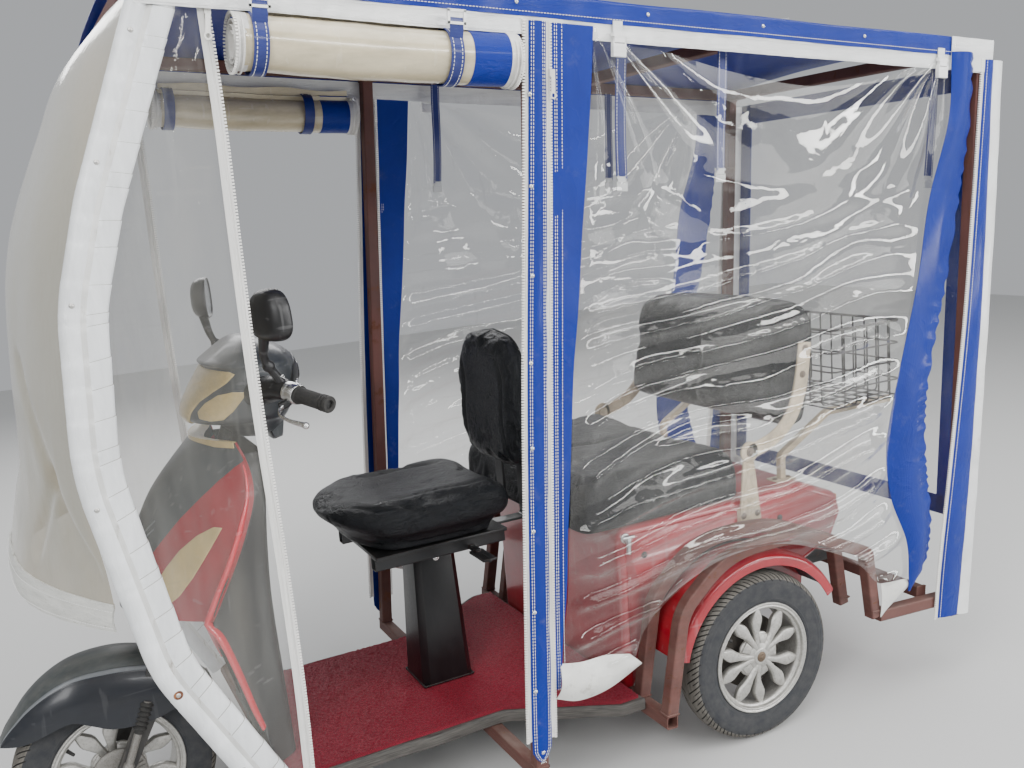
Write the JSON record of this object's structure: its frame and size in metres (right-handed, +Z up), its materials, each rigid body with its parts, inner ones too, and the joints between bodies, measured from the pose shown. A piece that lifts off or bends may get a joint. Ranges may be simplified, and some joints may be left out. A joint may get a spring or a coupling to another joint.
{
  "type": "electric tricycle with canopy",
  "caption": "Three-wheeled electric scooter with driver's seat, rear passenger bench and a clear canopy on a tube frame; steering, wheels and bench backrest move.",
  "frame": {"origin": "on the ground, midway between the front mudguard's tip and the canopy's rear edge", "axes": "+X forward, +Y to the vehicle's left, +Z up"},
  "size_m": [2.4546, 1.0398, 1.8131],
  "materials": {
    "bar_paint": "satin black",
    "battery_case": "matt",
    "beige_insert": "yellowed beige, glossy",
    "beige_paint": "worn beige paint",
    "black_paint": "chipped black paint",
    "black_plastic": "matt black",
    "blue_sheet": "coated blue sheet",
    "cast_alloy": "grey cast alloy",
    "cast_drive": "cast, dusty",
    "chassis_paint": "worn black paint",
    "clear_sheet": "wrinkled clear vinyl",
    "coil_mat": "looped vinyl coil mat",
    "dark_plastic": "scuffed dark grey",
    "deck_sill": "dusty rubber edging",
    "fork_paint": "dark, dusty",
    "grip_rubber": "ribbed",
    "lamp_lens": "clear tinted lens",
    "leatherette": "creased black leatherette",
    "oxide_paint": "brown red-oxide primer with rust",
    "red_body": "glossy, scuffed",
    "rolled_sheet": "milky rolled vinyl",
    "spring_steel": "worn black paint",
    "switch_metal": "brushed",
    "tyre": "worn, dusty",
    "white_sheet": "coated white sheet",
    "white_wrap": "dirty white tape wrap",
    "wire": "black coated wire"
  },
  "bodies": {
    "vehicle": {"rear_axle": "cast_drive", "rear_springs": "spring_steel", "chassis_rails": "chassis_paint", "front_frame": "chassis_paint", "deck_pan": "deck_sill", "deck_mat": "coil_mat", "rear_body": "red_body", "battery": "battery_case", "rear_mudguards": "red_body", "tail_lamps": "lamp_lens", "seat_pedestal": "black_paint", "seat_frame": "black_paint", "driver_cushion": "leatherette", "driver_backrest": "leatherette", "bench_cushion": "leatherette", "backrest_hinges": "beige_paint", "basket_rack": "beige_paint", "luggage_basket": "wire", "leg_shield_wings": "red_body", "leg_shield_middle": "dark_plastic", "knee_panel": "black_plastic", "canopy_posts": "oxide_paint", "canopy_side_rails": "oxide_paint", "canopy_cross_bars": "oxide_paint", "canopy_feet": "oxide_paint", "canopy_arches": "oxide_paint", "canopy_hoops": "white_wrap", "roof_sheet": "blue_sheet", "roof_valance": "white_sheet", "windscreen": "clear_sheet", "front_side_windows": "clear_sheet", "rear_windows": "clear_sheet", "rolled_doors": "rolled_sheet", "post_covers": "blue_sheet"},
    "steering": {"front_fork": "fork_paint", "front_mudguard": "dark_plastic", "handlebar": "bar_paint", "handlebar_grips": "grip_rubber", "bar_switches": "switch_metal", "head_cover": "dark_plastic", "headlight": "beige_insert", "mirrors": "black_plastic"},
    "bench_back": {"bench_backrest": "leatherette", "backrest_arms": "beige_paint"},
    "front_wheel": {"front_tyre": "tyre", "front_rim": "cast_alloy"},
    "rear_wheel_left": {"rear_tyre_left": "tyre", "rear_rim_left": "cast_alloy"},
    "rear_wheel_right": {"rear_tyre_right": "tyre", "rear_rim_right": "cast_alloy"}
  },
  "joints": [
    {"name": "steering_turn", "type": "hinge", "parent": "vehicle", "child": "steering", "pos_m": [0.78597, 0, 0.67292], "axis": [-0.3907, 0, 0.9205], "range_deg": [-35, 35]},
    {"name": "front_wheel_spin", "type": "hinge", "parent": "steering", "child": "front_wheel", "pos_m": [1.01343, 0, 0.21], "axis": [0, 1, 0], "continuous": true},
    {"name": "rear_wheel_left_spin", "type": "hinge", "parent": "vehicle", "child": "rear_wheel_left", "pos_m": [-0.42657, 0.402, 0.21], "axis": [0, 1, 0], "continuous": true},
    {"name": "rear_wheel_right_spin", "type": "hinge", "parent": "vehicle", "child": "rear_wheel_right", "pos_m": [-0.42657, -0.402, 0.21], "axis": [0, 1, 0], "continuous": true},
    {"name": "bench_back_fold", "type": "hinge", "parent": "vehicle", "child": "bench_back", "pos_m": [-0.49357, 0, 0.696], "axis": [0, 1, 0], "range_deg": [0, 80]}
  ]
}
